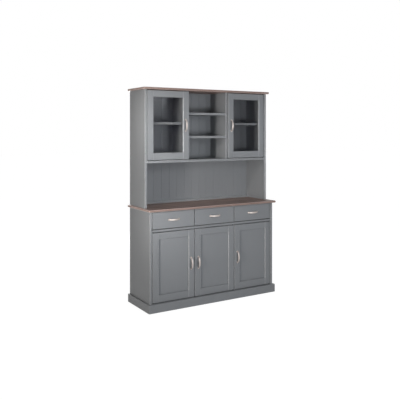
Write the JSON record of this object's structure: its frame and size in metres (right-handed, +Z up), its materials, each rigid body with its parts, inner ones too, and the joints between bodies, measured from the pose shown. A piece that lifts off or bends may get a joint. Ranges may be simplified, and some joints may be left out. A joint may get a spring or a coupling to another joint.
{
  "type": "buffet cabinet",
  "caption": "Grey painted buffet cabinet: base with drawers over panel doors, brown wood worktop, and a shallower hutch with an open niche, open cubbies and glazed doors.",
  "frame": {"origin": "on the floor, in the middle of the overall box", "axes": "+Z up, front towards -Y, +X to the right as seen from the front"},
  "size_m": [1.322, 0.43, 1.88],
  "materials": {
    "grey_paint": "satin grey paint over pine",
    "brown_wood": "stained and waxed solid wood",
    "plain_pine": "bare planed pine",
    "hardboard": "thin painted board",
    "clear_glass": "clear polished",
    "satin_nickel": "satin, warm nickel",
    "steel": "bright zinc plated",
    "beech": "bare turned beech",
    "stop_plastic": "moulded, matte"
  },
  "bodies": {
    "carcass": {"cupboard_shelf_wide": "grey_paint", "cupboard_shelf_narrow": "grey_paint", "display_shelf_left": "grey_paint", "display_shelf_right": "grey_paint", "base_side_left": "grey_paint", "base_side_right": "grey_paint", "base_floor": "grey_paint", "drawer_deck": "grey_paint", "cupboard_partition": "grey_paint", "drawer_divider_right": "grey_paint", "drawer_divider_left": "grey_paint", "base_back": "hardboard", "plinth_front": "grey_paint", "plinth_left": "grey_paint", "plinth_right": "grey_paint", "worktop": "brown_wood", "hutch_side_left": "grey_paint", "hutch_side_right": "grey_paint", "hutch_floor": "grey_paint", "hutch_divider_right": "grey_paint", "hutch_divider_left": "grey_paint", "hutch_back_boards": "grey_paint", "niche_rail": "grey_paint", "top_board": "brown_wood", "cubby_shelf_lower": "grey_paint", "cubby_shelf_upper": "grey_paint", "shelf_pins": "steel", "door_pivots": "steel", "hutch_dowels": "beech", "door_stops": "stop_plastic", "drawer_runners": "plain_pine"},
    "base_door_left": {"base_door_left_frame": "grey_paint", "base_door_left_panel": "grey_paint", "base_door_left_handle": "satin_nickel"},
    "base_door_middle": {"base_door_middle_frame": "grey_paint", "base_door_middle_panel": "grey_paint", "base_door_middle_handle": "satin_nickel"},
    "base_door_right": {"base_door_right_frame": "grey_paint", "base_door_right_panel": "grey_paint", "base_door_right_handle": "satin_nickel"},
    "hutch_door_left": {"hutch_door_left_frame": "grey_paint", "hutch_door_left_glass": "clear_glass", "hutch_door_left_beads": "grey_paint", "hutch_door_left_handle": "satin_nickel"},
    "hutch_door_right": {"hutch_door_right_frame": "grey_paint", "hutch_door_right_glass": "clear_glass", "hutch_door_right_beads": "grey_paint", "hutch_door_right_handle": "satin_nickel"},
    "drawer_left": {"drawer_left_front": "grey_paint", "drawer_left_box": "plain_pine", "drawer_left_bottom": "hardboard", "drawer_left_handle": "satin_nickel"},
    "drawer_middle": {"drawer_middle_front": "grey_paint", "drawer_middle_box": "plain_pine", "drawer_middle_bottom": "hardboard", "drawer_middle_handle": "satin_nickel"},
    "drawer_right": {"drawer_right_front": "grey_paint", "drawer_right_box": "plain_pine", "drawer_right_bottom": "hardboard", "drawer_right_handle": "satin_nickel"}
  },
  "joints": [
    {"name": "base_door_left_hinge", "type": "hinge", "parent": "carcass", "child": "base_door_left", "pos_m": [-0.607, -0.176, 0.367], "axis": [0, 0, -1], "range_deg": [0, 105]},
    {"name": "base_door_middle_hinge", "type": "hinge", "parent": "carcass", "child": "base_door_middle", "pos_m": [0.196, -0.176, 0.367], "axis": [0, 0, 1], "range_deg": [0, 95]},
    {"name": "base_door_right_hinge", "type": "hinge", "parent": "carcass", "child": "base_door_right", "pos_m": [0.607, -0.176, 0.367], "axis": [0, 0, 1], "range_deg": [0, 105]},
    {"name": "hutch_door_left_hinge", "type": "hinge", "parent": "carcass", "child": "hutch_door_left", "pos_m": [-0.607, -0.08, 1.558], "axis": [0, 0, -1], "range_deg": [0, 105]},
    {"name": "hutch_door_right_hinge", "type": "hinge", "parent": "carcass", "child": "hutch_door_right", "pos_m": [0.607, -0.08, 1.558], "axis": [0, 0, 1], "range_deg": [0, 105]},
    {"name": "drawer_left_slide", "type": "slide", "parent": "carcass", "child": "drawer_left", "axis": [0, -1, 0], "range_m": [0, 0.26]},
    {"name": "drawer_middle_slide", "type": "slide", "parent": "carcass", "child": "drawer_middle", "axis": [0, -1, 0], "range_m": [0, 0.26]},
    {"name": "drawer_right_slide", "type": "slide", "parent": "carcass", "child": "drawer_right", "axis": [0, -1, 0], "range_m": [0, 0.26]}
  ]
}
